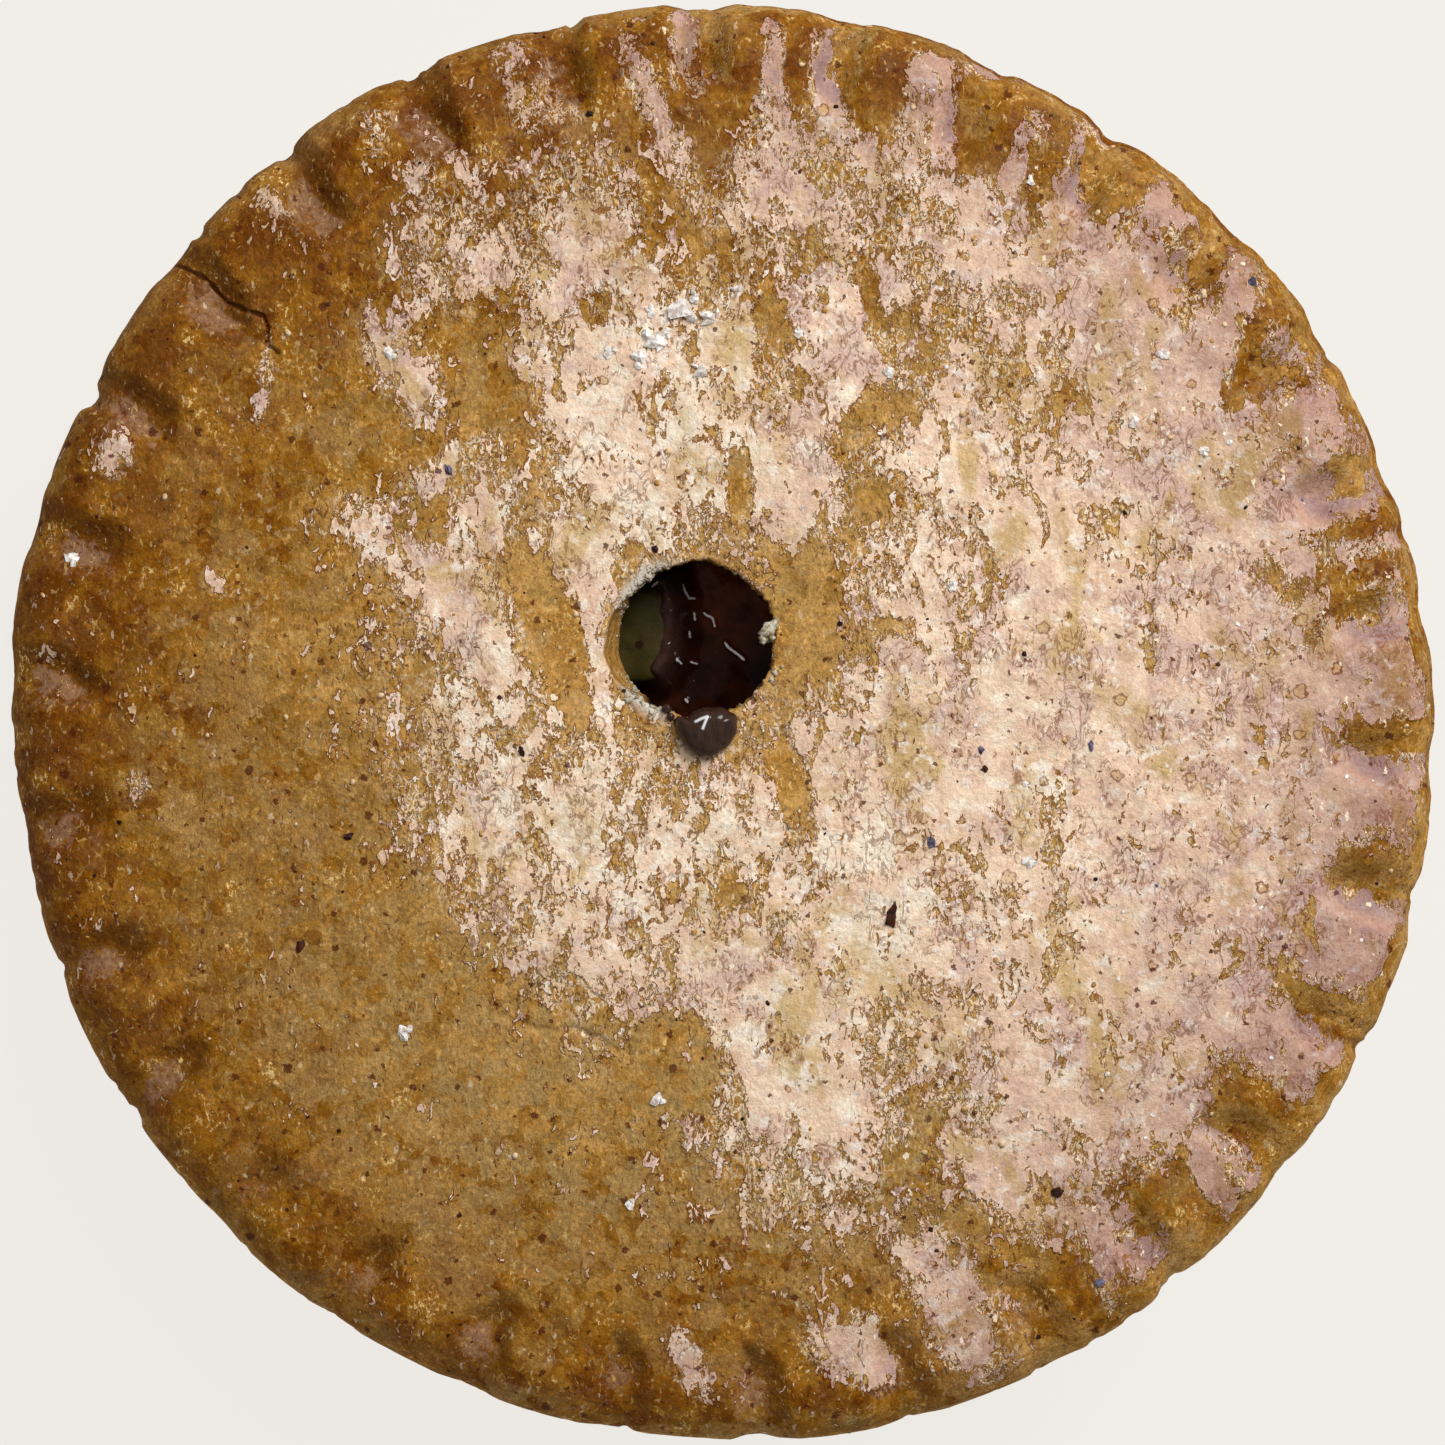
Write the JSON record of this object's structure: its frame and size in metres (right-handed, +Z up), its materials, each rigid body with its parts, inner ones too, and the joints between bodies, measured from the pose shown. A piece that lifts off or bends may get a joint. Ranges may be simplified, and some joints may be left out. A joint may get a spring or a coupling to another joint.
{
  "type": "apple tart",
  "caption": "Individual round fruit tart: a baked pastry case under a lid with a crimped edge, and dark fruit filling showing in the steam hole.",
  "frame": {"origin": "middle of the flat base, on the surface the tart stands on", "axes": "+Z up; +Y the far side of the tart and +X its right when it is seen from above, with the steam hole on the far side of the middle"},
  "size_m": [0.0747, 0.0754, 0.0291],
  "materials": {
    "baked_pastry": "baked shortcrust, golden brown with a pale dried milk and sugar wash; sharp sheen only where the wash is thick",
    "fruit_filling": "dark set fruit filling with apple pieces, wet and glossy",
    "cooked_apple": "soft cooked apple stained olive brown by the filling, moist and slightly glossy",
    "filling_jelly": "grey-brown set fruit juice, translucent and glossy"
  },
  "bodies": {
    "root": {"crust": "baked_pastry", "filling": "fruit_filling", "apple_piece": "cooked_apple", "filling_drop": "filling_jelly"}
  },
  "joints": []
}
